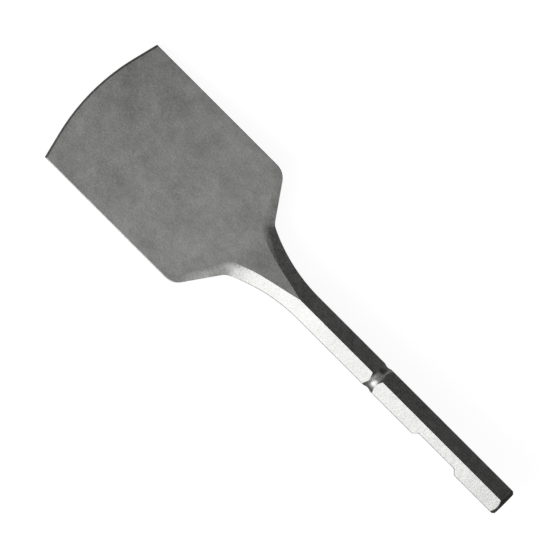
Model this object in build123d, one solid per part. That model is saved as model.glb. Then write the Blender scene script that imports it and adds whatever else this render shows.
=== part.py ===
from build123d import *
import os
from math import cos, radians, sin, sqrt, tan

# Clay spade chisel, forged from one hexagonal bar. Sizes are in millimetres.
# The origin is the centre of the striking face. X runs along the shank to the cutting edge, Z is square to
# the blade and Y points to the side of the shank that has the retaining notch.

# Overall
overall_length = 400.0
hex_across_flats = 21.0

# Tail of the shank
striking_face_diameter = 18.0
tail_chamfer_angle = 45.0

# Retaining notch, milled into one flat
notch_start = 38.0
notch_length = 41.0
notch_depth = 3.25
notch_wall_angle = 45.0
notch_floor_radius = 2.5

# Ring groove, turned round the shank
groove_position = 122.7
groove_radius = 6.0
groove_floor_diameter = 19.6

# Neck, where the bar is forged out to the blade
ridge_length = 199.0
flare_start = 190.0
flare_radius = 125.0
facet_drop_start = 197.0
neck_end = 246.5
neck_side_height = 4.2
neck_facet_angle = 25.0
neck_fillet = 10.0
root_blend_radius = 150.0

# Blade
blade_width = 109.0
blade_root_thickness = 11.2
blade_edge_thickness = 4.0
shoulder_angle = 55.2
shoulder_radius = 13.0
edge_crown_radius = 150.0
edge_flank_angle = 14.0
edge_land = 1.2
edge_bevel_angle = 45.0
side_edge_radius = 0.6

# Rolled edge along each shoulder. The neck's facet turns into it between two places before and after the
# neck's end, and it dies out where the shoulder meets the blade's side.
roll_fall = 1.6
roll_angle = 15.0
turn_before = 2.5
turn_after = 6.0
roll_blend_radius = 14.0

# How far cutters run past what they meet
overrun = 6.0

# One cutter makes a facet and its roll, and rounds their inner edge over into the blade's face. It stands over
# the face by the clearance there, and by the lift more where the neck begins, so that the edge is sharp there.
roll_clearance = 0.03
facet_lift = 5.0

# How many stretches that cutter is lofted in, along the neck, round its end and along the shoulder, and how
# many times the width of its section is worked out anew from the height of the face where it ends
neck_steps = 12
turn_steps = 2
roll_steps = 8
width_rounds = 6

# Worked out from the sizes above
flat = hex_across_flats / 2
corner = flat / cos(radians(30))
hex_side_height = corner / 2
hex_facet_slope = tan(radians(30))
neck_facet_slope = tan(radians(neck_facet_angle))
roll_slope = tan(radians(roll_angle))
blade_half = blade_width / 2
root_half_thickness = blade_root_thickness / 2
edge_half_thickness = blade_edge_thickness / 2
blade_taper = (root_half_thickness - edge_half_thickness) / (overall_length - neck_end)
neck_slope = (corner - root_half_thickness) / (neck_end - ridge_length)
root_blend_reach = root_blend_radius * (neck_slope - blade_taper) / 2
clear = corner + overrun


def flare_half_width(x):
    """Half the width in plan, along the arc that widens the bar."""
    run = max(x - flare_start, 0)
    return flat + flare_radius - sqrt(flare_radius**2 - run**2)


neck_half_width = flare_half_width(neck_end)
shoulder_run = (blade_half - neck_half_width) / tan(radians(shoulder_angle))
side_start = neck_end + shoulder_run
crown_y = edge_crown_radius * sin(radians(edge_flank_angle))
crown_x = overall_length - edge_crown_radius * (1 - cos(radians(edge_flank_angle)))
side_end = crown_x - (blade_half - crown_y) * tan(radians(edge_flank_angle))


def cutting_edge(beyond=0.0):
    """The crowned edge in plan: an arc between straight flanks, which can run on past the blade's sides."""
    end_x = side_end - beyond * sin(radians(edge_flank_angle))
    end_y = blade_half + beyond * cos(radians(edge_flank_angle))
    with BuildLine() as edge:
        Line((end_x, end_y), (crown_x, crown_y))
        ThreePointArc((crown_x, crown_y), (overall_length, 0), (crown_x, -crown_y))
        Line((crown_x, -crown_y), (end_x, -end_y))
    return edge.line


def neck_line(beyond=0.0):
    """The neck and the shoulder in plan, on one side, which can run on past the blade's side."""
    flare_mid = (flare_start + neck_end) / 2
    end_x = side_start + beyond * cos(radians(shoulder_angle))
    end_y = blade_half + beyond * sin(radians(shoulder_angle))
    with BuildLine() as line:
        ThreePointArc(
            (flare_start, flat),
            (flare_mid, flare_half_width(flare_mid)),
            (neck_end, neck_half_width),
        )
        Line((neck_end, neck_half_width), (end_x, end_y))
        fillet(line.vertices().sort_by_distance((neck_end, neck_half_width))[0], neck_fillet)
    return line.wire()


def plan_outline():
    """The whole chisel seen square to the blade."""
    with BuildSketch() as outline:
        with BuildLine():
            Line((0, flat), (flare_start, flat))
            add(neck_line())
            Line((side_start, blade_half), (side_end, blade_half))
            mirror(about=Plane.XZ)
            Line((0, flat), (0, -flat))
            add(cutting_edge())
        make_face()
        corners = outline.vertices()
        shoulders = [corners.sort_by_distance((side_start, y))[0] for y in (blade_half, -blade_half)]
        fillet(shoulders, shoulder_radius)
    return outline.sketch


def side_profile():
    """The chisel seen from the side: the flat of the neck, then the tapering blade."""
    start = ridge_length - (clear - corner) / neck_slope
    with BuildSketch(Plane.XZ) as profile:
        with BuildLine():
            Polyline(
                (0, 0),
                (0, clear),
                (start, clear),
                (neck_end, root_half_thickness),
                (overall_length, edge_half_thickness),
                (overall_length, 0),
                close=True,
            )
        make_face()
        root = profile.vertices().sort_by_distance((neck_end, root_half_thickness))[0]
        fillet(root, root_blend_radius)
        mirror(about=Plane.XZ)
    return profile.sketch


def face_height(x):
    """Height of the neck's flat and the blade's face, with the shallow blend between them."""
    past = x - neck_end
    straight = root_half_thickness - past * (blade_taper if past > 0 else neck_slope)
    blended = max(root_blend_reach - abs(past), 0)
    return straight + (neck_slope - blade_taper) * blended**2 / (4 * root_blend_reach)


def eased(x, start, end):
    """0 before start and 1 after end, with a soft change between them."""
    share = min(max((x - start) / (end - start), 0), 1)
    return share * share * (3 - 2 * share)


def between(first, second, share):
    """The value that lies at share of the way from the first to the second."""
    return first + (second - first) * share


def facet_section(path, distance):
    """What is cut away above the facet and the roll, in a plane square to the side's line."""
    foot = path.position_at(distance, PositionMode.LENGTH)
    along = path.tangent_at(distance, PositionMode.LENGTH)
    inward = Vector(along.Y, -along.X)
    dropped = eased(foot.X, facet_drop_start, neck_end)
    turned = eased(foot.X, neck_end - turn_before, neck_end + turn_after)
    down_shoulder = max(foot.X - neck_end, 0) / shoulder_run
    up_neck = max(neck_end - foot.X, 0) / (neck_end - flare_start)
    roll_height = face_height(foot.X) - roll_fall * (1 - down_shoulder**3)
    height = between(between(hex_side_height, neck_side_height / 2, dropped), roll_height, turned)
    slope = between(between(hex_facet_slope, neck_facet_slope, dropped), roll_slope, turned)
    lift = roll_clearance + facet_lift * up_neck**1.5
    width = 0
    for _ in range(width_rounds):
        inner_height = face_height(foot.X + inward.X * width) + lift
        width = (inner_height - height) / slope
    outer = min(width, 0) - neck_fillet / 2
    far = width + overrun
    far_height = face_height(foot.X + inward.X * far) + lift + roll_clearance
    lid = clear + face_height(flare_start) + facet_lift
    with BuildSketch() as section:
        with BuildLine():
            Polyline(
                (outer, height + slope * outer),
                (width, inner_height),
                (far, far_height),
                (far, lid),
                (outer, lid),
                close=True,
            )
        make_face()
        fillet(section.vertices().sort_by_distance((width, inner_height))[0], roll_blend_radius)
    return Plane(origin=foot, x_dir=inward, z_dir=-along) * section.sketch


def facet_cutter():
    """What is cut away above one facet of the shank and neck, and above its roll on the shoulder."""
    path = neck_line(beyond=overrun)
    distance = 0
    sections = [facet_section(path, distance)]
    for edge, steps in zip(path.edges().sort_by(Axis.X), (neck_steps, turn_steps, roll_steps)):
        for _ in range(steps):
            distance += edge.length / steps
            sections.append(facet_section(path, distance))
    shank = extrude(sections[0], flare_start + overrun, dir=(-1, 0, 0))
    return shank + loft(sections)


def tail_chamfer():
    """Ring taken off the corners of the hexagon at the striking face."""
    radius = striking_face_diameter / 2
    slope = tan(radians(tail_chamfer_angle))
    ring = Polygon((0, radius), (0, clear), ((clear - radius) / slope, clear), align=None)
    return revolve(ring, Axis.X)


def ring_groove():
    """Ring with a round section that the groove is turned with."""
    centre = groove_floor_diameter / 2 + groove_radius
    return revolve(Pos(groove_position, centre) * Circle(groove_radius), Axis.X)


def retaining_notch():
    """Straight cut across one flat, with sloping ends and a rounded floor."""
    spread = 1 / tan(radians(notch_wall_angle))
    floor = flat - notch_depth
    end = notch_start + notch_length
    with BuildSketch() as cut:
        with BuildLine():
            Polyline(
                (notch_start - overrun * spread, flat + overrun),
                (notch_start + notch_depth * spread, floor),
                (end - notch_depth * spread, floor),
                (end + overrun * spread, flat + overrun),
                close=True,
            )
        make_face()
        fillet(cut.vertices().group_by(Axis.Y)[0], notch_floor_radius)
    return extrude(cut.sketch, clear, both=True)


def ground_bevel():
    """Wedge along the cutting edge, over the land, that grinds the upper face."""
    reach = blade_edge_thickness
    slope = tan(radians(edge_bevel_angle))
    path = cutting_edge(beyond=reach)
    outward = Vector(cos(radians(edge_flank_angle)), sin(radians(edge_flank_angle)), 0)
    place = Plane(origin=path @ 0, x_dir=outward, z_dir=path % 0)
    top = edge_land / 2 + reach * slope
    wedge = Polygon((reach, edge_land / 2 - reach * slope), (reach, top), (-reach, top), align=None)
    return sweep(place * wedge, path=path)


def blank():
    """The outline at its tapering thickness, its cutting edge ground and its long edges broken."""
    body = extrude(plan_outline(), clear, both=True) & extrude(side_profile(), blade_width, both=True)
    body = fillet(body.edges().filter_by(lies_along_side), side_edge_radius)
    return body - ground_bevel() - mirror(ground_bevel(), about=Plane.XY)


def lies_along_side(edge):
    middle = edge.center()
    along_side = edge.length > (side_end - side_start) / 2
    return along_side and middle.X > side_start and abs(middle.Y) > blade_half - side_edge_radius


def chisel():
    """The one forged, turned and milled piece."""
    side = facet_cutter()
    other_side = mirror(side, about=Plane.XZ)
    body = blank() - side - other_side - mirror(side, about=Plane.XY) - mirror(other_side, about=Plane.XY)
    return body - tail_chamfer() - ring_groove() - retaining_notch()


part = chisel()
os.makedirs("parts", exist_ok=True)
export_step(part, "parts/chisel.step")
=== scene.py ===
from math import pi

import bpy
from mathutils import Matrix, Vector


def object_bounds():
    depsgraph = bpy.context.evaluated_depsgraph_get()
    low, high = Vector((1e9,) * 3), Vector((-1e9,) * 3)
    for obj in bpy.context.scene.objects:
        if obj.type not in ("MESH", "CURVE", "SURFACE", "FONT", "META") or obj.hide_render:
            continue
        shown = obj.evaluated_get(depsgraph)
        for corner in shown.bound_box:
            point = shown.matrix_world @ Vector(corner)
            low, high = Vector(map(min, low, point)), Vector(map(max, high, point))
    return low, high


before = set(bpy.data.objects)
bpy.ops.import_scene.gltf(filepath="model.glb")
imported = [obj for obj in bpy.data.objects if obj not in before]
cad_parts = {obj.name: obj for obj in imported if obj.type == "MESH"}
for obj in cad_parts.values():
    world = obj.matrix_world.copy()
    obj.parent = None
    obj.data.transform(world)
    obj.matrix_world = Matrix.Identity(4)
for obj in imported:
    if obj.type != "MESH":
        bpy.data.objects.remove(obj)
cad_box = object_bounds()

# Places on the chisel, in the frame's millimetres
flat_y = 10.5
groove_x = 122.7
groove_centre_radius = 15.8
groove_radius = 6.0
notch_x = 58.5
notch_half_length = 20.5
notch_floor_half_length = 17.25
notch_floor_y = 7.25
striking_face_radius = 9.0
flare_start = 190.0
flare_radius = 125.0
neck_end = 246.5
blade_end = 400.0
edge_bevel_start = 385.0

# Where the chisel rests, in metres: the lower ridge's end and the underside of the cutting edge
ridge_end_x = 0.198
edge_land_x = 0.3986
edge_land_z = -0.0020

# The photograph looks straight down. Up in the picture is halfway between the cutting edge and the side
# without the notch.
photo_centre = Vector((0.21723, 0.00007, 0.0))
photo_width = 0.3842
photo_up = Vector((1, -1, 0))
camera_distance = 8.0
clip_distance = 24.0
sensor_width = 36.0

# Steel: linear colours, how rough it is, how far that varies, what dirt and painted shade add to it, and the
# share of a bright metal's sheen that it has at a grazing angle
forged_grey = (0.178, 0.178, 0.174)
machined_grey = (0.196, 0.196, 0.193)
dirt_and_shade_grey = (0.043, 0.043, 0.042)
forged_roughness = 0.40
machined_roughness = 0.35
roughness_spread = 0.06
dirt_and_shade_roughness = 0.15
grazing_sheen = (0.5, 0.5, 0.5)

# Sizes of the patterns in the steel, in millimetres
cloud_size = 22
mottle_size = 6
blotch_size = 2.6
grain_size = 1.2
mark_size = 0.5

# How strongly each pattern shows in the steel's tone
side_cloud = 0.2
face_cloud = 0.65
mottle_tone = 0.28
side_grain = 1.5
sunny_grain = 0.30
face_grain = 0.85
mark_tone = 0.3

# How much painted shade darkens the steel towards the tip, in the tip's far corner and on the neck's slope
tip_shade = 0.13
far_corner_shade = 0.34
neck_shade = 0.10

# How strongly painted shade shows on the ground edge, dirt in the groove's blotches, and painted shade in its
# corners outside and inside the blotches
edge_shade = 0.5
blotch_dirt = 0.42
groove_corner_shade = (0.5, 0.9)

# Relief: the blasted surface's depth in metres, how much mottle adds to its grain, and how strong the marks
# of the cutters are beside it
relief_depth = 0.00012
mottle_relief = 1.5
mark_relief = 0.3

# A face is told by how much it looks along an axis, from -1 to 1. Each pair is where its mask is 0 and where
# it is 1.
level_faces = (0.95, 0.98)
slanting_faces = (0.5, 0.6)
notch_side_faces = (0.2, 0.3)
notch_faces = (0.6, 0.65)
striking_face = (-0.95, -0.97)
all_but_striking_face = (-0.95, -0.9)
edge_bevel_faces = (0.3, 0.5)
neck_slope_faces = (0.05, 0.12)

# Places are told in millimetres, as pairs in the same way: along the axis, across it, from the middle of the
# groove or the notch, past the tail's chamfer, and inwards from the shank's outline
groove_rim = (groove_radius + 0.15, groove_radius + 0.05)
groove_far_side = (-2.0, -5.0)
groove_tail_wall = (groove_x - 3.0, groove_x - 1.5)
groove_far_half = (1.5, -0.5)
groove_neck_wall = (groove_x + 1.5, groove_x + 3.5)
groove_near_side = (5.5, 8.5)
notch_length = (notch_half_length, notch_half_length - 0.2)
notch_slope = (notch_half_length, notch_floor_half_length)
notch_mouth = (flat_y, flat_y - 0.1)
# The painted shade round the tail reaches this far past the chamfer
tail_shade_end = (0.6, 0.4)
# A thin line of painted shade lies this far inside the shank's outline and ends before the neck's end
side_shade_inner = (0.4, 0.25)
side_shade_end = (neck_end - 5, neck_end - 15)
edge_bevel_place = (edge_bevel_start, edge_bevel_start + 1)
tip_place = (blade_end - 80, blade_end)
far_corner_place = (flat_y, -50)

# Noise in the groove is dirt from the first of these levels on, and all dirt at the second
blotch_levels = (0.38, 0.62)

# Lamps: the way to each from the chisel, its distance, its width and height in metres, and how bright it is
key_lamp = (Vector((0.25, 0.85, 0.5)), 1.1, (1.2, 1.0), 6.6)
fill_lamp = (Vector((-0.60, 0.40, 0.75)), 1.3, (0.9, 0.9), 1.2)

# Black cards: one end of each one's foot, the way to the other end and the height, in metres
side_card = (Vector((-1.2, -0.9, -0.1)), Vector((1.7, 0, 0)), 1.4)
tail_card = (Vector((-0.9, -0.6, -0.1)), Vector((0, 1.0, 0)), 0.7)
tip_card = (Vector((1.2, -0.6, -0.1)), Vector((0, 1.2, 0)), 0.8)
card_black = (0.02, 0.02, 0.02)

# Room and floor. The floor's white is the share of it that glows for what sees it.
room_level = 1.0
floor_grey = (0.9, 0.9, 0.9)
floor_white = 0.92
floor_half_width = 30.0
matt = 0.9


def add_object(name, data):
    """A new object in the scene."""
    made = bpy.data.objects.new(name, data)
    bpy.context.scene.collection.objects.link(made)
    return made


def looking(location, target, upwards):
    """Matrix of a lamp or camera at location that looks at target, with upwards up in its view."""
    back = (location - target).normalized()
    right = upwards.cross(back).normalized()
    up = back.cross(right)
    turned = Matrix((right, up, back)).transposed().to_4x4()
    return Matrix.Translation(location) @ turned


def new_material(name):
    """A material, its node tree and its Principled shader."""
    material = bpy.data.materials.new(name)
    material.use_nodes = True
    return material, material.node_tree, material.node_tree.nodes["Principled BSDF"]


def matt_material(name, colour):
    """A dull material of one colour, its node tree and its shader."""
    material, tree, shader = new_material(name)
    shader.inputs["Base Color"].default_value = (*colour, 1)
    shader.inputs["Roughness"].default_value = matt
    return material, tree, shader


def add_node(tree, kind, inputs=None, **settings):
    """A shader node with its settings. Its inputs are set to values or linked to other nodes' outputs."""
    node = tree.nodes.new("ShaderNode" + kind)
    for name, value in settings.items():
        setattr(node, name, value)
    for name, value in (inputs or {}).items():
        if isinstance(value, bpy.types.NodeSocket):
            tree.links.new(value, node.inputs[name])
        elif isinstance(value, tuple) and node.inputs[name].type == "RGBA":
            node.inputs[name].default_value = (*value, 1)
        else:
            node.inputs[name].default_value = value
    return node


def maths(tree, operation, first, second=0.0, clamp=False):
    """The result of a sum on one or two numbers."""
    node = add_node(tree, "Math", {0: first, 1: second}, operation=operation, use_clamp=clamp)
    return node.outputs[0]


def times(tree, first, second):
    """The product of two numbers, and of two masks 1 only where both are 1."""
    return maths(tree, "MULTIPLY", first, second)


def plus(tree, first, second, clamp=False):
    """The sum of two numbers, and of two masks the places of both."""
    return maths(tree, "ADD", first, second, clamp)


def minus(tree, first, second):
    """What is left of the first number without the second."""
    return maths(tree, "SUBTRACT", first, second)


def length(tree, first, second):
    """The length of a line that goes first one way and second square to it."""
    return maths(tree, "SQRT", plus(tree, times(tree, first, first), times(tree, second, second)))


def ramp(tree, value, low, high):
    """0 where the value is at low and 1 where it is at high, which may lie either way round."""
    node = add_node(tree, "MapRange", {"Value": value, "From Min": low, "From Max": high})
    return node.outputs["Result"]


def mix(tree, share, first, second):
    """A number between two others."""
    node = add_node(tree, "MapRange", {"Value": share, "To Min": first, "To Max": second})
    return node.outputs["Result"]


def mix_colour(tree, share, first, second, blend_type="MIX"):
    """Two colours mixed."""
    node = add_node(tree, "Mix", {0: share, 6: first, 7: second}, data_type="RGBA", blend_type=blend_type)
    return node.outputs[2]


def noise(tree, place, size, detail, roughness):
    """Noise from 0 to 1 whose blotches are about size millimetres across."""
    settings = {"Vector": place, "Scale": 1 / size, "Detail": detail, "Roughness": roughness}
    return add_node(tree, "TexNoise", settings).outputs["Fac"]


def around(tree, value):
    """A value from 0 to 1, shifted so that it swings about 0."""
    return minus(tree, value, 0.5)


def forged_steel():
    """Shot-blasted forged steel: cloudy, grainy and dull, smoother where machined, and dark with dirt and
    painted shade.
    """
    material, tree, shader = new_material("forged_steel")
    coordinates = add_node(tree, "TexCoord")
    to_millimetres = {0: coordinates.outputs["Object"], 1: (1000, 1000, 1000)}
    place = add_node(tree, "VectorMath", to_millimetres, operation="MULTIPLY").outputs[0]
    at = add_node(tree, "SeparateXYZ", {0: place}).outputs
    facing = add_node(tree, "SeparateXYZ", {0: coordinates.outputs["Normal"]}).outputs

    mottle = noise(tree, place, mottle_size, detail=3, roughness=0.6)
    grain = noise(tree, place, grain_size, detail=2, roughness=0.8)
    groove = groove_mask(tree, at)
    notch = notch_mask(tree, at, facing)
    turned_end = ramp(tree, facing[0], *striking_face)
    machined = plus(tree, plus(tree, groove, notch), turned_end, clamp=True)
    marks = cutter_marks(tree, at, notch)
    dirt_and_shade = dirt_and_shade_mask(tree, place, at, facing, groove)

    spots = times(tree, around(tree, grain), grain_strength(tree, facing))
    lines = times(tree, around(tree, marks), mark_tone)
    tone = plus(tree, steel_tone(tree, place, at, facing, mottle), mix(tree, machined, spots, lines))
    tones = add_node(tree, "CombineXYZ", {0: tone, 1: tone, 2: tone}).outputs[0]
    colour = mix_colour(tree, machined, forged_grey, machined_grey)
    # Darkened by dirt in the groove and by painted shade elsewhere
    colour = mix_colour(tree, dirt_and_shade, colour, dirt_and_shade_grey)
    colour = mix_colour(tree, 1.0, colour, tones, "MULTIPLY")
    tree.links.new(colour, shader.inputs["Base Color"])

    shader.inputs["Metallic"].default_value = 1.0
    shader.inputs["Specular Tint"].default_value = (*grazing_sheen, 1)
    rough = mix(tree, mottle, forged_roughness - roughness_spread, forged_roughness + roughness_spread)
    rough = minus(tree, rough, times(tree, machined, forged_roughness - machined_roughness))
    rough = plus(tree, rough, times(tree, dirt_and_shade, dirt_and_shade_roughness))
    tree.links.new(rough, shader.inputs["Roughness"])

    blasted = plus(tree, grain, times(tree, mottle, mottle_relief))
    relief = mix(tree, machined, blasted, times(tree, marks, mark_relief))
    bump = add_node(tree, "Bump", {"Height": relief, "Strength": 1.0, "Distance": relief_depth})
    tree.links.new(bump.outputs[0], shader.inputs["Normal"])
    return material


def steel_tone(tree, place, at, facing, mottle):
    """How light the steel is: cloudy on the broad faces, with painted shade at the neck and towards the tip.
    """
    level = level_mask(tree, facing)
    clouds = noise(tree, place, cloud_size, detail=2.5, roughness=0.55)
    clouds = times(tree, around(tree, clouds), mix(tree, level, side_cloud, face_cloud))
    pattern = plus(tree, clouds, times(tree, around(tree, mottle), mottle_tone))
    # Painted shade towards the tip, deepest in its far corner
    far_corner = ramp(tree, at[1], *far_corner_place)
    tip = ramp(tree, at[0], *tip_place)
    tip = times(tree, tip, mix(tree, far_corner, tip_shade, far_corner_shade))
    # Painted shade on the neck's slope, picked out by the way it faces
    neck = times(tree, times(tree, level, ramp(tree, facing[0], *neck_slope_faces)), neck_shade)
    return minus(tree, plus(tree, pattern, 1.0), plus(tree, tip, neck))


def level_mask(tree, facing):
    """1 on the broad faces of the blade and on the flats of the neck."""
    return ramp(tree, maths(tree, "ABSOLUTE", facing[2]), *level_faces)


def grain_strength(tree, facing):
    """How strongly the blasted grain shows: least on the facets next to the notch, most on the sides."""
    slanting = ramp(tree, maths(tree, "ABSOLUTE", facing[2]), *slanting_faces)
    sunny = times(tree, ramp(tree, facing[1], *notch_side_faces), slanting)
    return mix(tree, level_mask(tree, facing), mix(tree, sunny, side_grain, sunny_grain), face_grain)


def groove_mask(tree, at):
    """1 on the turned surface of the ring groove."""
    across = minus(tree, at[0], groove_x)
    down = minus(tree, length(tree, at[1], at[2]), groove_centre_radius)
    return ramp(tree, length(tree, across, down), *groove_rim)


def notch_mask(tree, at, facing):
    """1 on the milled surface of the retaining notch."""
    from_middle = maths(tree, "ABSOLUTE", minus(tree, at[0], notch_x))
    along = ramp(tree, from_middle, *notch_length)
    below = ramp(tree, at[1], *notch_mouth)
    return times(tree, times(tree, along, below), ramp(tree, facing[1], *notch_faces))


def cutter_marks(tree, at, notch):
    """Fine lines left by the cutter: round the axis where the steel was turned, straight across the notch."""
    radius = length(tree, at[1], at[2])
    turned = minus(tree, radius, times(tree, radius, notch))
    lines = add_node(tree, "CombineXYZ", {0: at[0], 1: turned}).outputs[0]
    return noise(tree, lines, mark_size, detail=2, roughness=0.6)


def dirt_and_shade_mask(tree, place, at, facing, groove):
    """1 where shade is painted round the tail, on the ground edge and along the shank, and where the groove
    holds dirt and painted shade.
    """
    edge = times(tree, ramp(tree, at[0], *edge_bevel_place), ramp(tree, facing[0], *edge_bevel_faces))
    # Painted shade on the ground edge's bevel
    edge = times(tree, edge, edge_shade)
    # Painted shade round the tail and on the ground edge
    ends = plus(tree, tail_shade(tree, at, facing), edge)
    # Dirt and painted shade in the groove, and painted shade along the shank's edge
    hollows = plus(tree, groove_dirt_and_shade(tree, place, at, groove), side_shade_line(tree, at, facing))
    return plus(tree, ends, hollows, clamp=True)


def tail_shade(tree, at, facing):
    """1 on the chamfer round the striking face and a little way past it, where shade is painted."""
    chamfer_x = minus(tree, length(tree, at[1], at[2]), striking_face_radius)
    past = minus(tree, at[0], chamfer_x)
    rim = ramp(tree, past, *tail_shade_end)
    return times(tree, rim, ramp(tree, facing[0], *all_but_striking_face))


def groove_dirt_and_shade(tree, place, at, groove):
    """Dirt in blotches all round the ring groove, and painted shade on its far side, next to the neck and on
    the near side.
    """
    blotches = ramp(tree, noise(tree, place, blotch_size, detail=3, roughness=0.7), *blotch_levels)
    far_side = times(tree, ramp(tree, at[1], *groove_far_side), ramp(tree, at[0], *groove_tail_wall))
    neck_wall = times(tree, ramp(tree, at[1], *groove_far_half), ramp(tree, at[0], *groove_neck_wall))
    near_side = ramp(tree, at[1], *groove_near_side)
    corners = plus(tree, plus(tree, far_side, neck_wall), near_side, clamp=True)
    # Painted shade in the groove's corners, deeper inside the blotches
    corners = times(tree, corners, mix(tree, blotches, *groove_corner_shade))
    return times(tree, groove, maths(tree, "MAXIMUM", corners, times(tree, blotches, blotch_dirt)))


def side_shade_line(tree, at, facing):
    """1 on the thin line of painted shade along the outer edge of the shank's and neck's facet, on the notch
    side.
    """
    from_notch = maths(tree, "ABSOLUTE", minus(tree, at[0], notch_x))
    depth = ramp(tree, from_notch, *notch_slope)
    outline_y = mix(tree, depth, flat_y, notch_floor_y)
    along = maths(tree, "MAXIMUM", minus(tree, at[0], flare_start), 0)
    out = plus(tree, minus(tree, outline_y, at[1]), flare_radius)
    inside = minus(tree, length(tree, along, out), flare_radius)
    line = times(tree, ramp(tree, inside, *side_shade_inner), ramp(tree, at[0], *side_shade_end))
    return times(tree, line, ramp(tree, facing[2], *slanting_faces))


def add_camera():
    """A long lens straight above the chisel, rolled as in the photograph."""
    data = bpy.data.cameras.new("camera")
    data.sensor_width = sensor_width
    data.lens = sensor_width * camera_distance / photo_width
    data.clip_end = clip_distance
    camera = add_object("camera", data)
    above = photo_centre + Vector((0, 0, camera_distance))
    camera.matrix_world = looking(above, photo_centre, photo_up)
    bpy.context.scene.camera = camera


def add_lamp(name, direction, distance, size, level):
    """A soft rectangular lamp that faces the chisel from that direction and looks as bright as level says."""
    data = bpy.data.lights.new(name, "AREA")
    data.shape = "RECTANGLE"
    data.size, data.size_y = size
    data.energy = level * pi * size[0] * size[1]
    lamp = add_object(name, data)
    location = photo_centre + direction.normalized() * distance
    lamp.matrix_world = looking(location, photo_centre, Vector((0, 0, 1)))
    lamp.visible_camera = False


def add_card(name, foot, along, height):
    """A black card that stands out of the picture and shades one side of the studio."""
    up = Vector((0, 0, height))
    mesh = bpy.data.meshes.new(name)
    mesh.from_pydata([foot, foot + along, foot + along + up, foot + up], [], [(0, 1, 2, 3)])
    mesh.materials.append(matt_material(name, card_black)[0])
    card = add_object(name, mesh)
    card.visible_camera = False


def add_floor():
    """White floor, tilted so that the chisel rests on it as it lies on a table."""
    lowest = cad_box[0].z
    slope = (edge_land_z - lowest) / (edge_land_x - ridge_end_x)
    far = floor_half_width
    corners = [(-far, -far), (far, -far), (far, far), (-far, far)]
    mesh = bpy.data.meshes.new("floor")
    mesh.from_pydata([(x, y, lowest + (x - ridge_end_x) * slope) for x, y in corners], [], [(0, 1, 2, 3)])
    mesh.materials.append(floor_material())
    add_object("floor", mesh)


def floor_material():
    """Matt white that keeps shadows, and glows a little for what sees it, so that it shows as white."""
    material, tree, shader = matt_material("floor", floor_grey)
    ray = add_node(tree, "LightPath")
    seen = plus(tree, ray.outputs["Is Camera Ray"], ray.outputs["Is Glossy Ray"])
    seen = plus(tree, seen, ray.outputs["Is Transmission Ray"], clamp=True)
    white = add_node(tree, "Emission", {"Color": (1, 1, 1), "Strength": 1.0})
    share = times(tree, seen, floor_white)
    mixed = add_node(tree, "MixShader", {0: share, 1: shader.outputs[0], 2: white.outputs[0]})
    tree.links.new(mixed.outputs[0], tree.nodes["Material Output"].inputs["Surface"])
    return material


def add_studio():
    """White room, a bright soft lamp on the notch side, a dim one overhead and cards for the dark sides."""
    world = bpy.data.worlds.new("studio")
    world.use_nodes = True
    background = world.node_tree.nodes["Background"]
    background.inputs["Color"].default_value = (1, 1, 1, 1)
    background.inputs["Strength"].default_value = room_level
    bpy.context.scene.world = world
    add_lamp("key", *key_lamp)
    add_lamp("fill", *fill_lamp)
    add_card("side_card", *side_card)
    add_card("tail_card", *tail_card)
    add_card("tip_card", *tip_card)


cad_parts["chisel"].data.materials[0] = forged_steel()
add_camera()
add_floor()
add_studio()
bpy.context.scene.view_settings.view_transform = "Standard"
